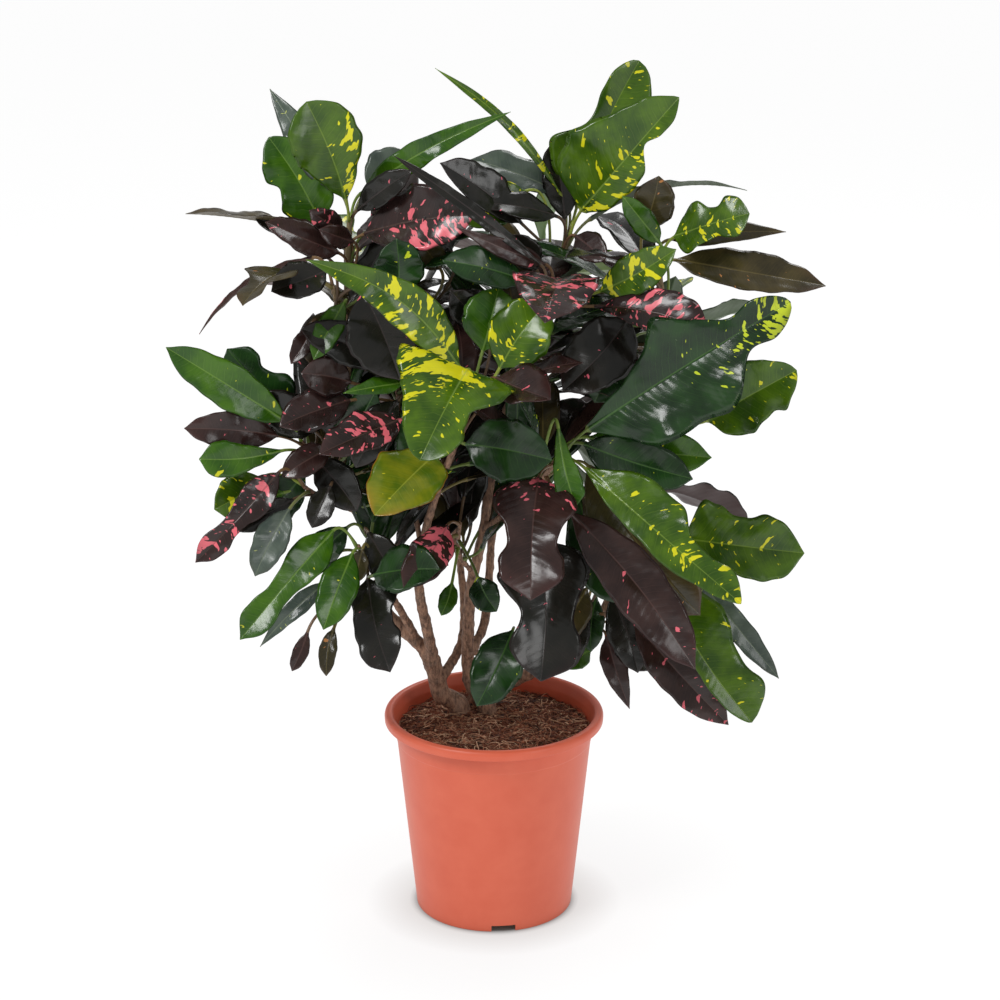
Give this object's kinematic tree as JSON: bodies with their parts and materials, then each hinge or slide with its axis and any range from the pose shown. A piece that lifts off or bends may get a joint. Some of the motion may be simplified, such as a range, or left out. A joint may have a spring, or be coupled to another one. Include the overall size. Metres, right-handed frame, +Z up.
{
  "type": "potted croton",
  "caption": "Bushy potted croton with leathery green, yellow, pink and near-black leaves on branching woody stems, in a round tapered nursery pot that stands on a flat foot.",
  "frame": {"origin": "centre of the pot's foot, on the surface that the plant stands on; the crown reaches equally far to both sides of it", "axes": "+Z up along the pot's axis, -Y towards the plant's front, +X to its right"},
  "size_m": [0.6174, 0.4459, 0.8487],
  "materials": {
    "pot_plastic": "moulded polypropylene, terracotta coloured, satin",
    "potting_mix": "moist coir and peat, fibrous and matt",
    "bark": "grey brown bark with leaf scars, matt",
    "leaf_bright_green": "glossy leathery leaf, mid green with paler veins",
    "leaf_dark_green": "glossy leathery leaf, dark green",
    "leaf_splashed_yellow": "glossy leathery leaf, green splashed with yellow along the veins",
    "leaf_golden": "glossy leathery leaf, yellow-green with an orange margin",
    "leaf_near_black": "glossy leathery leaf, almost black with a bluish sheen",
    "leaf_wine": "glossy leathery leaf, dark purple brown",
    "leaf_pink_splashed": "glossy leathery leaf, dark brown purple splashed with pink",
    "leaf_slate": "satin grey green underside of a leaf",
    "leaf_olive": "glossy leathery leaf, brown olive"
  },
  "bodies": {
    "root": {"pot": "pot_plastic", "soil": "potting_mix", "stem_left": "bark", "stem_centre": "bark", "stem_right": "bark", "leaf_upper_left_1": "leaf_splashed_yellow", "leaf_upper_left_2": "leaf_bright_green", "leaf_upper_left_3": "leaf_bright_green", "leaf_upper_left_4": "leaf_pink_splashed", "leaf_upper_left_5": "leaf_olive", "leaf_top_1": "leaf_splashed_yellow", "leaf_top_2": "leaf_splashed_yellow", "leaf_top_3": "leaf_slate", "leaf_top_4": "leaf_splashed_yellow", "leaf_top_5": "leaf_near_black", "leaf_upper_right_1": "leaf_splashed_yellow", "leaf_upper_right_2": "leaf_olive", "leaf_upper_right_3": "leaf_near_black", "leaf_upper_right_4": "leaf_splashed_yellow", "leaf_upper_right_5": "leaf_splashed_yellow", "leaf_upper_right_6": "leaf_splashed_yellow", "leaf_middle_1": "leaf_near_black", "leaf_middle_2": "leaf_pink_splashed", "leaf_middle_3": "leaf_splashed_yellow", "leaf_middle_4": "leaf_pink_splashed", "leaf_high_left_1": "leaf_olive", "leaf_high_left_2": "leaf_pink_splashed", "leaf_high_left_3": "leaf_near_black", "leaf_front_1": "leaf_splashed_yellow", "leaf_front_2": "leaf_splashed_yellow", "leaf_front_3": "leaf_splashed_yellow", "leaf_front_4": "leaf_dark_green", "leaf_front_5": "leaf_golden", "leaf_centre_left_1": "leaf_dark_green", "leaf_centre_left_2": "leaf_pink_splashed", "leaf_left_1": "leaf_bright_green", "leaf_left_2": "leaf_wine", "leaf_lower_left_1": "leaf_pink_splashed", "leaf_low_left_1": "leaf_bright_green", "leaf_low_left_2": "leaf_near_black", "leaf_low_front_1": "leaf_wine", "leaf_front_right_1": "leaf_dark_green", "leaf_front_right_2": "leaf_splashed_yellow", "leaf_front_right_3": "leaf_wine", "leaf_front_right_4": "leaf_wine", "leaf_front_right_5": "leaf_near_black", "leaf_low_right_1": "leaf_wine", "leaf_back_left_1": "leaf_splashed_yellow", "leaf_back_left_2": "leaf_near_black", "leaf_back_left_3": "leaf_wine", "leaf_back_low_left_1": "leaf_bright_green", "leaf_back_low_left_2": "leaf_near_black", "leaf_back_1": "leaf_bright_green", "leaf_back_2": "leaf_wine", "leaf_back_low_1": "leaf_dark_green", "leaf_back_low_2": "leaf_pink_splashed", "leaf_back_right_1": "leaf_dark_green", "leaf_back_right_2": "leaf_splashed_yellow", "leaf_back_low_right_1": "leaf_near_black"}
  },
  "joints": []
}
